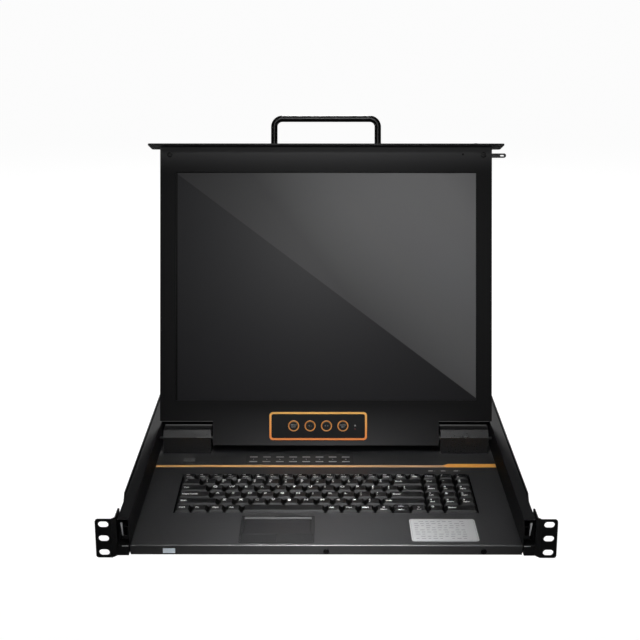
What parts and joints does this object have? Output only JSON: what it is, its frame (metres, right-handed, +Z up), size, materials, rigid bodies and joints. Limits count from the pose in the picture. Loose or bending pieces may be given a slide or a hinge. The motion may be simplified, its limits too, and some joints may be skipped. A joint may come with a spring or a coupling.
{
  "type": "rackmount console drawer",
  "caption": "One-unit rack drawer on telescopic slides with a keyboard, touchpad and port keypad in its deck and a hinged flat-screen lid with a front plate, handle and side latch.",
  "frame": {"origin": "centre of the four outer ear slots, on the rear face of the ears that meets the rack posts", "axes": "+X to the user's right, +Y into the rack, +Z up"},
  "size_m": [0.4826, 0.598, 0.4147],
  "materials": {
    "black_steel": "fine textured powder coat",
    "deck_steel": "fine textured powder coat",
    "bezel_steel": "satin powder coat",
    "bare_steel": "zinc plated",
    "key_plastic": "matte moulded",
    "base_plastic": "matte moulded",
    "pad_plastic": "fine grain",
    "lcd": "anti-glare",
    "osd": "satin",
    "connector": "nickel plated",
    "circuit_board": "solder mask"
  },
  "bodies": {
    "chassis": {"ear_left": "black_steel", "ear_right": "black_steel", "side_wall_left": "black_steel", "side_wall_right": "black_steel", "slide_outer_left": "bare_steel", "slide_outer_right": "bare_steel", "rear_pan": "black_steel", "rear_cover": "black_steel", "rear_panel": "black_steel", "video_ports": "connector", "power_inlet": "base_plastic", "rocker_housing": "base_plastic", "switch_board": "circuit_board"},
    "middle_members": {"slide_middle_left": "bare_steel", "slide_middle_right": "bare_steel"},
    "drawer": {"slide_inner_left": "bare_steel", "slide_inner_right": "bare_steel", "tray_pan": "black_steel", "deck_panel": "deck_steel", "tray_wall_left": "black_steel", "tray_wall_right": "black_steel", "tray_rear_cover": "black_steel", "port_keypad": "pad_plastic", "aux_port_cover": "pad_plastic", "keyboard_base": "base_plastic", "touchpad_frame": "base_plastic", "touch_pad": "pad_plastic", "hinge_cover_left": "black_steel", "hinge_cover_right": "black_steel", "hinge_bracket_left": "bare_steel", "hinge_bracket_right": "bare_steel"},
    "lid": {"hinge_shafts": "bare_steel", "lid_shell": "black_steel", "lid_bezel": "bezel_steel", "lcd_panel": "lcd", "osd_overlay": "osd", "front_plate": "black_steel", "handle": "black_steel", "latch_guide": "bare_steel"},
    "latch": {"latch_bolt": "bare_steel"},
    "power_rocker": {"rocker": "base_plastic"},
    "left_button": {"touch_button_left": "pad_plastic"},
    "right_button": {"touch_button_right": "pad_plastic"},
    "keys_function_set": {"keys_function": "key_plastic"},
    "keys_number_set": {"keys_number": "key_plastic"},
    "keys_tab_set": {"keys_tab": "key_plastic"},
    "keys_home_set": {"keys_home": "key_plastic"},
    "keys_shift_set": {"keys_shift": "key_plastic"},
    "keys_bottom_set": {"keys_bottom": "key_plastic"},
    "key_space_set": {"key_space": "key_plastic"},
    "keys_numpad_set": {"keys_numpad": "key_plastic"},
    "menu_button_1": {"osd_button_1": "osd"},
    "menu_button_2": {"osd_button_2": "osd"},
    "menu_button_3": {"osd_button_3": "osd"},
    "menu_button_4": {"osd_button_4": "osd"}
  },
  "joints": [
    {"name": "drawer_slide", "type": "slide", "parent": "chassis", "child": "drawer", "axis": [0, -1, 0], "range_m": [-0.0945, 0.3]},
    {"name": "middle_slide", "type": "slide", "parent": "chassis", "child": "middle_members", "axis": [0, -1, 0], "range_m": [-0.04725, 0.15]},
    {"name": "lid_hinge", "type": "hinge", "parent": "drawer", "child": "lid", "pos_m": [0, 0.266, 0.00677], "axis": [1, 0, 0], "range_deg": [-13.7, 106.3]},
    {"name": "latch_slide", "type": "slide", "parent": "lid", "child": "latch", "axis": [-1, 0, 0], "range_m": [0, 0.012], "stiffness_N_per_m": 150, "springref_m": -0.008},
    {"name": "rocker_pivot", "type": "hinge", "parent": "chassis", "child": "power_rocker", "pos_m": [0.142, 0.586, -0.00022], "axis": [1, 0, 0], "range_deg": [-12, 0]},
    {"name": "left_button_press", "type": "slide", "parent": "drawer", "child": "left_button", "axis": [0, 0, -1], "range_m": [0, 0.0008], "stiffness_N_per_m": 800, "springref_m": -0.0005},
    {"name": "right_button_press", "type": "slide", "parent": "drawer", "child": "right_button", "axis": [0, 0, -1], "range_m": [0, 0.0008], "stiffness_N_per_m": 800, "springref_m": -0.0005},
    {"name": "keys_function_press", "type": "slide", "parent": "drawer", "child": "keys_function_set", "axis": [0, 0, -1], "range_m": [0, 0.003], "stiffness_N_per_m": 600, "springref_m": -0.001},
    {"name": "keys_number_press", "type": "slide", "parent": "drawer", "child": "keys_number_set", "axis": [0, 0, -1], "range_m": [0, 0.003], "stiffness_N_per_m": 600, "springref_m": -0.001},
    {"name": "keys_tab_press", "type": "slide", "parent": "drawer", "child": "keys_tab_set", "axis": [0, 0, -1], "range_m": [0, 0.003], "stiffness_N_per_m": 600, "springref_m": -0.001},
    {"name": "keys_home_press", "type": "slide", "parent": "drawer", "child": "keys_home_set", "axis": [0, 0, -1], "range_m": [0, 0.003], "stiffness_N_per_m": 600, "springref_m": -0.001},
    {"name": "keys_shift_press", "type": "slide", "parent": "drawer", "child": "keys_shift_set", "axis": [0, 0, -1], "range_m": [0, 0.003], "stiffness_N_per_m": 600, "springref_m": -0.001},
    {"name": "keys_bottom_press", "type": "slide", "parent": "drawer", "child": "keys_bottom_set", "axis": [0, 0, -1], "range_m": [0, 0.003], "stiffness_N_per_m": 600, "springref_m": -0.001},
    {"name": "key_space_press", "type": "slide", "parent": "drawer", "child": "key_space_set", "axis": [0, 0, -1], "range_m": [0, 0.003], "stiffness_N_per_m": 600, "springref_m": -0.001},
    {"name": "keys_numpad_press", "type": "slide", "parent": "drawer", "child": "keys_numpad_set", "axis": [0, 0, -1], "range_m": [0, 0.003], "stiffness_N_per_m": 600, "springref_m": -0.001},
    {"name": "menu_button_1_press", "type": "slide", "parent": "lid", "child": "menu_button_1", "axis": [0, 0.9598, -0.2807], "range_m": [0, 0.0008], "stiffness_N_per_m": 800, "springref_m": -0.0005},
    {"name": "menu_button_2_press", "type": "slide", "parent": "lid", "child": "menu_button_2", "axis": [0, 0.9598, -0.2807], "range_m": [0, 0.0008], "stiffness_N_per_m": 800, "springref_m": -0.0005},
    {"name": "menu_button_3_press", "type": "slide", "parent": "lid", "child": "menu_button_3", "axis": [0, 0.9598, -0.2807], "range_m": [0, 0.0008], "stiffness_N_per_m": 800, "springref_m": -0.0005},
    {"name": "menu_button_4_press", "type": "slide", "parent": "lid", "child": "menu_button_4", "axis": [0, 0.9598, -0.2807], "range_m": [0, 0.0008], "stiffness_N_per_m": 800, "springref_m": -0.0005}
  ],
  "couplings": [
    {"joint": "middle_slide", "follows": "drawer_slide", "ratio": 0.5}
  ]
}
